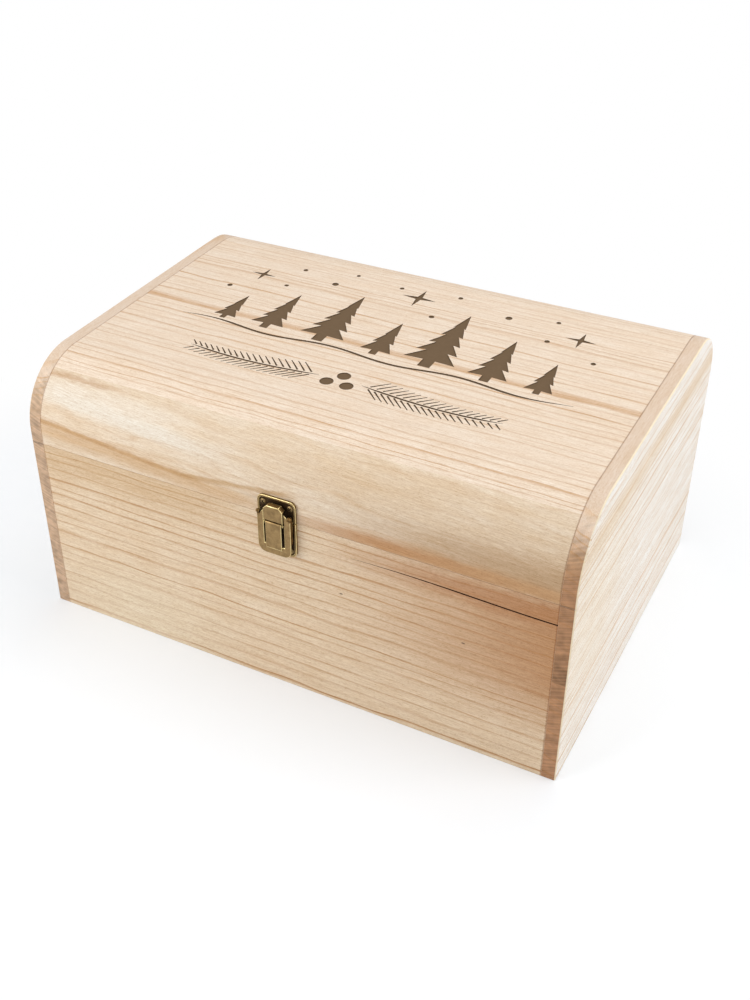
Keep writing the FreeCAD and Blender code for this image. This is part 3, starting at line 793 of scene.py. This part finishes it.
@dataclass
class LidDecoration:
    """Burnt winter wood on the lid's top: firs on a snow line, stars, flakes and two sprigs. Millimetres."""

    depth: float = 0.5
    front: float = -83.0
    back: float = 87.0
    half_width: float = 150.0
    foot: float = -14.0
    hill_line: float = 1.9
    stem_line: float = 1.5
    needle: float = 1.15
    berry: float = 4.2

    def build(self) -> None:
        """Cuts the decoration into the top board and dresses it."""
        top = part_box("lid_top_board")[1][2]
        mesh = cut_out(merged_copy("lid_top_board"), self._cutter(top))
        mesh.materials.clear()
        mesh.materials.append(TOP.material())
        mesh.materials.append(BurntWoodAndCrackShade().material())
        for face in mesh.polygons:
            x, y, z = face.center
            flat = abs(x) < self.half_width * MM and self.front * MM < y < self.back * MM
            face.material_index = int(flat and 0.01 * MM < top - z < 2 * self.depth * MM)
        smooth(mesh, 30)
        finished("decorated_lid_top", mesh, "lid", ["lid_top_board"])

    def _cutter(self, top: float) -> Object:
        """All outlines as one set of prisms through the board's surface.

        Args:
            top: Height of the board's surface.

        Returns:
            Cutter object.
        """
        shape = bmesh.new()
        for points in self._outlines():
            loops = []
            for z in (top - self.depth * MM, top + MM):
                loops.append([shape.verts.new((x * MM, y * MM, z)) for x, y in points])
            shape.faces.new(loops[0])
            shape.faces.new(loops[1])
            count = len(points)
            for i in range(count):
                j = (i + 1) % count
                shape.faces.new((loops[0][i], loops[0][j], loops[1][j], loops[1][i]))
        bmesh.ops.recalc_face_normals(shape, faces=shape.faces)
        return placed("decoration", mesh_of(shape, "decoration"))

    def _outlines(self) -> list[list[Point]]:
        """Draws the whole decoration.

        Returns:
            Closed outlines, none of them touching another.
        """
        firs = (
            (-104, 34, 3), (-74, 50, 4), (-36, 66, 5), (2, 44, 3), (36, 72, 5), (74, 54, 4), (106, 38, 3))
        stars = ((-112, 52, 9), (-4, 66, 12), (108, 58, 10))
        flakes = (
            (-90, 70, 1.6), (-62, 60, 2.2), (-20, 74, 1.5), (14, 46, 1.8), (58, 66, 2.2), (88, 74, 1.5),
            (-124, 28, 1.8), (124, 34, 1.6), (-54, 78, 1.4), (20, 78, 1.6), (-90, 44, 1.5), (90, 48, 1.7))
        hills = [(-130 + 2.6 * i, -18.5 + 2.2 * math.sin(0.075 * i * 2.6)) for i in range(101)]
        berries = ((0, -45), (-6.5, -54.5), (6.5, -54.5))
        outlines = [self._fir(*fir) for fir in firs]
        outlines += [self._round(x, y, [size, 0.2 * size] * 4) for x, y, size in stars]
        outlines += [self._round(x, y, [radius] * 20) for x, y, radius in flakes]
        outlines.append(self._ribbon(hills, self.hill_line))
        for side in (-1, 1):
            outlines += self._sprig(side)
        return outlines + [self._round(x, y, [self.berry] * 20) for x, y in berries]

    def _fir(self, x: float, height: float, tiers: int) -> list[Point]:
        """Outline of a fir with a trunk.

        Args:
            x: Middle.
            height: Height with the trunk.
            tiers: Number of tiers.

        Returns:
            Points of the outline.
        """
        width = 0.46 * height
        trunk = 0.12 * height
        half = 0.055 * height
        right = [(half, self.foot), (half, self.foot + trunk)]
        step = (height - trunk) / (tiers + 0.6)
        for i in range(tiers):
            reach = 0.5 * width * (1 - i / (tiers + 0.35))
            low = self.foot + trunk + i * step
            right.append((reach, low - 0.06 * step))
            if i < tiers - 1:
                right.append((0.42 * reach, low + 1.02 * step))
        points = [(x + dx, y) for dx, y in right] + [(x, self.foot + height)]
        return points + [(x - dx, y) for dx, y in reversed(right)]

    def _round(self, x: float, y: float, reaches: list[float]) -> list[Point]:
        """Outline of a star or dot: points at equal angles about a middle, each with its own reach."""
        step = 2 * math.pi / len(reaches)
        return [(x + r * math.cos(step * i), y + r * math.sin(step * i)) for i, r in enumerate(reaches)]

    def _ribbon(self, path: list[Point], width: float) -> list[Point]:
        """Outline of a line of some width along a path, thinning to its ends.

        Args:
            path: Points of the middle line.
            width: Greatest width.

        Returns:
            Points of the outline.
        """
        sides: tuple[list[Point], list[Point]] = ([], [])
        last = len(path) - 1
        for i, (x, y) in enumerate(path):
            ahead, behind = path[min(i + 1, last)], path[max(i - 1, 0)]
            run = Vector((ahead[0] - behind[0], ahead[1] - behind[1])).normalized()
            half = 0.5 * width * min(1.0, 0.12 + 6 * min(i, last - i) / last)
            for line, way in zip(sides, (1, -1)):
                line.append((x - way * run.y * half, y + way * run.x * half))
        return sides[0] + sides[1][::-1]

    def _sprig(self, side: int) -> list[list[Point]]:
        """Pine sprig to one side of the middle.

        Args:
            side: Minus one for the left, one for the right.

        Returns:
            Outlines of the stem and its needles.
        """
        stem = [(side * (14 + 4.4 * i), -50 - 9 * math.sin(math.pi * i / 40) + 0.018 * i * i)
                for i in range(21)]
        outlines = [self._ribbon(stem, self.stem_line)]
        for i, (x, y) in list(enumerate(stem))[1:-1]:
            length = 13 - 0.35 * i
            for way in (1, -1):
                start = Vector((x + side * 0.9, y + way * 1.5))
                end = start + Vector((side * 0.72, way * 0.7)) * length
                across = Vector((-(end - start).y, (end - start).x)).normalized() * self.needle
                corners = ((start, -0.5), (end, -0.25), (end, 0.25), (start, 0.5))
                outlines.append([tuple(point + share * across) for point, share in corners])
        return outlines


@dataclass
class Hardware:
    """Brass latch and hinges, with rubbed edges that also carry a painted highlight, and painted shade on
    flanks and knuckles.
    """

    edge: float = 0.28 * MM
    weld: float = 0.04 * MM
    # knuckles of the pivot, which get the painted shade
    knuckle_from: float = 8.5 * MM
    knuckle_radius: float = 1.6 * MM
    # reach of the bar's foot, which gets a painted highlight
    bar_half: float = 5.3 * MM
    foot_low: float = -25 * MM
    foot_high: float = -12 * MM
    tray_low: float = 0.6 * MM
    tray_high: float = 1.0 * MM

    def build(self) -> None:
        """Dresses each pressed or turned piece."""
        brass_and_painted_light = [brass.material() for brass in BRASSES]
        bodies = {
            "latch_keeper_plate": "lid", "latch_base_plate": "base", "latch_lever": "latch_lever",
            "latch_hook": "latch_hook", "latch_lever_rivets": "base", "latch_hook_pin": "latch_lever",
        }
        for side in ("left", "right"):
            bodies[f"hinge_{side}_lid_leaf"] = "lid"
            bodies[f"hinge_{side}_base_leaf"] = "base"
            bodies[f"hinge_{side}_pin"] = "base"
        for node, body in bodies.items():
            mesh = evaluated(merged_copy(node, self.weld), self._rub_and_highlight)
            for i, finish in enumerate(brass_and_painted_light):
                mesh.materials[i] = finish
            self._paint_shade_and_highlight(mesh)
            if "plate" in node:
                self._stain_tray(mesh)
            smooth(mesh, 35)
            finished(f"{node}_brass", mesh, body, [node])

    def _rub_and_highlight(self, holder: Object) -> None:
        """Adds a small bevel whose faces take the pale rubbed colour: edge wear and a painted highlight.

        Args:
            holder: Object with the piece's mesh.
        """
        for _ in Brass:
            holder.data.materials.append(None)
        soft = bevelled(holder, self.edge, 40)
        # bevel faces take the pale colour: wear and painted highlight
        soft.material = Brass.RUBBED_HIGHLIGHT
        soft.use_clamp_overlap = False

    def _paint_shade_and_highlight(self, mesh: Mesh) -> None:
        """Paints shade on the flanks and on the knuckles of the lever's pivot with the darker flank colour,
        and a highlight on the bar's foot with the rubbed colour.

        Args:
            mesh: Mesh of a brass piece.
        """
        low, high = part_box("latch_lever_rivets")
        pivot = Vector((0.0, 0.5 * (low[1] + high[1]), 0.5 * (low[2] + high[2])))
        for face in mesh.polygons:
            off, normal = face.center - pivot, face.normal
            knuckle = abs(off.x) > self.knuckle_from and math.hypot(off.y, off.z) < self.knuckle_radius
            bar = abs(off.x) < self.bar_half and self.foot_low < off.z < self.foot_high
            # painted shade on the pivot's knuckles
            if knuckle:
                face.material_index = Brass.FLANK_SHADE
            # painted highlight on the sloped foot of the lever's bar
            elif bar and -0.95 < normal.y < -0.3 and normal.z < -0.3:
                face.material_index = Brass.RUBBED_HIGHLIGHT
            # painted shade on side walls that face away from the front
            elif face.material_index == Brass.FACE and abs(normal.y) < 0.6:
                face.material_index = Brass.FLANK_SHADE

    def _stain_tray(self, mesh: Mesh) -> None:
        """Gives the floor of a plate's tray the dark finish.

        Args:
            mesh: Mesh of the plate.
        """
        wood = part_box("base_front_board")[0][1]
        for face in mesh.polygons:
            if face.normal.y < -0.9 and self.tray_low < wood - face.center.y < self.tray_high:
                face.material_index = Brass.DARK


@dataclass
class Screws:
    """Small round-head screws, each set made by one node tree."""

    head_radius: float = 1.9 * MM
    head_height: float = 0.95 * MM
    head_seat: float = 0.9 * MM
    shank_radius: float = 0.98 * MM
    shank_length: float = 6.9 * MM
    slot_width: float = 0.55 * MM
    slot_length: float = 2.2 * MM

    def build(self) -> None:
        """Makes the screws of the lid and of the base."""
        tree = self._tree(SCREW.material(), SLOT_SHADE.material())
        for body, nodes in (("lid", ["latch_keeper_screws", "hinge_lid_screws"]),
                            ("base", ["latch_base_screws", "hinge_base_screws"])):
            mesh = self._set(tree, nodes)
            smooth(mesh, 35)
            finished(f"{body}_screws", mesh, body, nodes)

    def _sizes(self) -> dict[str, float]:
        """Sizes by the names of the node tree's inputs."""
        return {"Head Radius": self.head_radius, "Head Height": self.head_height,
                "Shank Radius": self.shank_radius, "Shank Length": self.shank_length,
                "Slot Width": self.slot_width, "Slot Length": self.slot_length}

    def _seats(self, node: str) -> list[tuple[Vector, Vector]]:
        """Seat and direction of each screw of a CAD node.

        Args:
            node: Node with the screws.

        Returns:
            Centre of each head's seat and the way that the head faces.
        """
        shape = welded(node)
        left = set(shape.verts)
        facing = -1 if next(iter(shape.verts)).co.y < 0 else 1
        seats = []
        while left:
            group, queue = [], [left.pop()]
            while queue:
                vert = queue.pop()
                group.append(vert.co.copy())
                for edge in vert.link_edges:
                    other = edge.other_vert(vert)
                    if other in left:
                        left.remove(other)
                        queue.append(other)
            head = max(facing * p.y for p in group) - self.head_seat
            xs, zs = [p.x for p in group], [p.z for p in group]
            seat = Vector((0.5 * (min(xs) + max(xs)), facing * head, 0.5 * (min(zs) + max(zs))))
            seats.append((seat, Vector((0, facing, 0))))
        shape.free()
        return sorted(seats, key=lambda pair: (round(pair[0].x, 4), round(pair[0].z, 4)))

    def _set(self, tree: Tree, nodes: list[str]) -> Mesh:
        """Screws at the seats of some CAD nodes.

        Args:
            tree: Node tree that sets a screw on each point.
            nodes: CAD nodes.

        Returns:
            One plain mesh.
        """
        seats = [seat for node in nodes for seat in self._seats(node)]
        mesh = bpy.data.meshes.new("seats")
        mesh.from_pydata([seat for seat, _ in seats], [], [])
        ways = mesh.attributes.new("facing", "FLOAT_VECTOR", "POINT")
        ways.data.foreach_set("vector", [c for _, way in seats for c in way])

        def dress(holder: Object) -> None:
            """Adds the tree and sets its sizes."""
            maker = holder.modifiers.new("screws", "NODES")
            maker.node_group = tree
            sizes = self._sizes()
            for item in tree.interface.items_tree:
                if item.name in sizes:
                    maker[item.identifier] = sizes[item.name]

        return evaluated(mesh, dress)

    def _tree(self, finish: Material, slot_shade: Material) -> Tree:
        """Node tree that sets a round-head cross-slot screw on each point.

        Args:
            finish: Material of the screws.
            slot_shade: Near-black material in their slots, a painted shade.

        Returns:
            The tree.
        """
        tree = bpy.data.node_groups.new("round_head_screws", "GeometryNodeTree")
        tree.interface.new_socket("Geometry", in_out="INPUT", socket_type="NodeSocketGeometry")
        for name in self._sizes():
            tree.interface.new_socket(name, in_out="INPUT", socket_type="NodeSocketFloat")
        tree.interface.new_socket("Geometry", in_out="OUTPUT", socket_type="NodeSocketGeometry")
        given = dict(add(tree, "NodeGroupInput").outputs.items())
        shank = add(tree, "GeometryNodeMeshCone", named={
            "Vertices": 24, "Radius Top": 0.0, "Radius Bottom": given["Shank Radius"],
            "Depth": given["Shank Length"]})
        shank = add(tree, "GeometryNodeTransform", shank, named={"Rotation": (math.pi, 0.0, 0.0)}).outputs[0]
        screw = add(tree, "GeometryNodeJoinGeometry")
        for part in (self._head(tree, given), shank):
            tree.links.new(part, screw.inputs[0])
        way = add(tree, "GeometryNodeInputNamedAttribute", data_type="FLOAT_VECTOR", named={
            "Name": "facing"})
        turn = add(tree, "FunctionNodeAlignRotationToVector", axis="Z", named={
            "Vector": way.outputs["Attribute"]})
        spin = add(tree, "FunctionNodeRandomValue", data_type="FLOAT", named={
            2: 0.0, 3: math.pi / 2, "Seed": 7}).outputs[1]
        twist = add(tree, "ShaderNodeCombineXYZ", None, None, spin)
        turn = add(tree, "FunctionNodeRotateRotation", turn, twist, rotation_space="LOCAL")
        points = add(tree, "GeometryNodeMeshToPoints", given["Geometry"])
        set_out = add(tree, "GeometryNodeInstanceOnPoints", points, named={
            "Instance": screw, "Rotation": turn})
        real = add(tree, "GeometryNodeRealizeInstances", set_out)
        dressed = add(tree, "GeometryNodeSetMaterial", real, named={"Material": finish})
        # faces inside the slots take the painted shade
        slot = add(tree, "GeometryNodeInputNamedAttribute", data_type="FLOAT", named={"Name": "slot_shade"})
        deep = add(tree, "ShaderNodeMath", slot.outputs["Attribute"], 0.5, operation="GREATER_THAN")
        dressed = add(tree, "GeometryNodeSetMaterial", dressed, named={
            "Selection": deep, "Material": slot_shade})
        add(tree, "NodeGroupOutput", dressed)
        return tree

    def _head(self, tree: Tree, given: dict[str, Socket]) -> Socket:
        """Half ball with a cross slot, its slot's faces marked.

        Args:
            tree: Tree of the screws.
            given: Sizes by name.

        Returns:
            The head, its seat at zero.
        """
        height = given["Head Height"]
        ball = add(tree, "GeometryNodeMeshUVSphere", named={"Segments": 32, "Rings": 16, "Radius": 1.0})
        oval = add(tree, "ShaderNodeCombineXYZ", given["Head Radius"], given["Head Radius"], height)
        dome = add(tree, "GeometryNodeTransform", ball, named={"Scale": oval})
        size = add(tree, "ShaderNodeMath", given["Head Radius"], 3.0, operation="MULTIPLY")
        boxes = [((size, size, size), add(tree, "ShaderNodeMath", size, -0.5, operation="MULTIPLY"))]
        for long, wide in (("Slot Length", "Slot Width"), ("Slot Width", "Slot Length")):
            boxes.append(((given[long], given[wide], height), height))
        cut = add(tree, "GeometryNodeMeshBoolean", operation="DIFFERENCE", solver="EXACT", named={
            "Mesh 1": dome})
        for sides, level in boxes:
            lift = add(tree, "ShaderNodeCombineXYZ", None, None, level)
            box = add(tree, "GeometryNodeMeshCube", add(tree, "ShaderNodeCombineXYZ", *sides))
            box = add(tree, "GeometryNodeTransform", box, named={"Translation": lift})
            tree.links.new(box.outputs[0], cut.inputs["Mesh 2"])
        spot = add(tree, "GeometryNodeInputPosition")
        level = add(tree, "ShaderNodeSeparateXYZ", spot).outputs["Z"]
        flat = add(tree, "ShaderNodeVectorMath", spot, (1.0, 1.0, 0.0), operation="MULTIPLY")
        reach = add(tree, "ShaderNodeVectorMath", flat, operation="LENGTH").outputs["Value"]
        inner = add(tree, "ShaderNodeMath", given["Slot Length"], 0.51, operation="MULTIPLY")
        brim = add(tree, "ShaderNodeMath", height, 0.8, operation="MULTIPLY")
        inside = add(tree, "ShaderNodeMath", reach, inner, operation="LESS_THAN")
        low = add(tree, "ShaderNodeMath", level, brim, operation="LESS_THAN")
        above = add(tree, "ShaderNodeMath", level, 0.0001 * MM, operation="GREATER_THAN")
        for test in (low, above):
            inside = add(tree, "ShaderNodeMath", inside, test, operation="MULTIPLY")
        return add(tree, "GeometryNodeStoreNamedAttribute", cut, data_type="FLOAT", domain="FACE", named={
            "Name": "slot_shade", "Value": inside}).outputs[0]


@dataclass
class Studio:
    """Pale floor, soft lamps and the camera."""

    camera_place: Place = (0.30810, -0.61975, 0.54748)
    camera_right: Place = (0.87964, 0.47542, -0.01442)
    camera_down: Place = (0.26440, -0.51395, -0.81605)
    lens: float = 46.21
    shift: Point = (0.0440, 0.0014)
    lamp_aim: Place = (0.0, 0.0, 0.08)
    floor_reach: float = 6.0
    floor_drop: float = 0.0002
    fade_middle: Place = (-0.02, -0.13, 0.0)
    fade_start: float = 0.26
    fade_end: float = 0.44
    fill: float = 0.3

    def build(self) -> None:
        """Sets up the stage."""
        self._floor()
        self._world()
        self._lamps()
        self._camera()
        bpy.context.scene.view_settings.view_transform = "Standard"

    def _lamps(self) -> None:
        """Square soft lamps aimed at the box, each with its place, the side of its panel and its watts."""
        lamps = {
            "left_front": ((-0.72, -0.88, 0.60), 0.9, 8.2),
            "right_side": ((1.25, 0.15, 0.70), 0.9, 8.4),
            "overhead": ((0.15, 0.25, 1.50), 1.2, 8.5),
        }
        for name, (place, size, power) in lamps.items():
            data = bpy.data.lights.new(name, "AREA")
            data.size = size
            data.energy = power
            aim = Vector(self.lamp_aim) - Vector(place)
            turn = aim.to_track_quat("-Z", "Y").to_matrix().to_4x4()
            placed(name, data).matrix_world = Matrix.Translation(place) @ turn

    def _floor(self) -> None:
        """White floor that keeps the box's soft shadow."""
        mesh = bpy.data.meshes.new("floor")
        reach = self.floor_reach
        corners = [(-reach, -reach, 0), (reach, -reach, 0), (reach, reach, 0), (-reach, reach, 0)]
        mesh.from_pydata(corners, [], [(0, 1, 2, 3)])
        made = blank("white_floor")
        tree = made.node_tree
        matt = add(tree, "ShaderNodeBsdfDiffuse", linear("F2F2F3"))
        thin = add(tree, "ShaderNodeBsdfDiffuse", (0.68, 0.7, 0.72, 1.0))
        glow = add(tree, "ShaderNodeEmission", linear("FCFDFF"), 0.34)
        near = add(tree, "ShaderNodeAddShader", thin, glow)
        white = add(tree, "ShaderNodeEmission", linear("FFFFFF"), 1.0)
        place = add(tree, "ShaderNodeTexCoord").outputs["Object"]
        away = add(tree, "ShaderNodeVectorMath", place, self.fade_middle, operation="DISTANCE")
        far = add(tree, "ShaderNodeMapRange", away.outputs["Value"], self.fade_start, self.fade_end,
                  interpolation_type="SMOOTHSTEP")
        shown = add(tree, "ShaderNodeMixShader", far, near, white)
        mixed = add(tree, "ShaderNodeMixShader", seen(tree), matt, shown)
        add(tree, "ShaderNodeOutputMaterial", mixed)
        mesh.materials.append(made)
        floor = placed("floor", mesh)
        floor.location.z = -self.floor_drop

    def _world(self) -> None:
        """White where the camera, metal or glass sees it, and a soft fill for the rest."""
        world = bpy.data.worlds.new("studio")
        bpy.context.scene.world = world
        world.use_nodes = True
        tree = world.node_tree
        tree.nodes.clear()
        fill, white = [add(tree, "ShaderNodeBackground", linear("FFFFFF"), strength)
                       for strength in (self.fill, 1.0)]
        mixed = add(tree, "ShaderNodeMixShader", seen(tree), fill, white)
        add(tree, "ShaderNodeOutputWorld", mixed)

    def _camera(self) -> None:
        """Camera at the photograph's place."""
        right, down = Vector(self.camera_right), Vector(self.camera_down)
        back = right.cross(-down).normalized()
        up = back.cross(right).normalized()
        data = bpy.data.cameras.new("camera")
        data.sensor_width = 36
        data.sensor_fit = "AUTO"
        data.lens = self.lens
        data.shift_x, data.shift_y = self.shift
        data.clip_start = 0.01
        camera = placed("camera", data)
        turn = Matrix((right.normalized(), up, back)).transposed().to_4x4()
        camera.matrix_world = Matrix.Translation(self.camera_place) @ turn
        bpy.context.scene.camera = camera


def main() -> None:
    """Builds the box and its stage in order."""
    logging.basicConfig(level=logging.INFO, format="%(message)s")
    for part in (Carcass(), LidDecoration(), Hardware(), Screws(), Studio()):
        part.build()


if __name__ == "__main__":
    main()
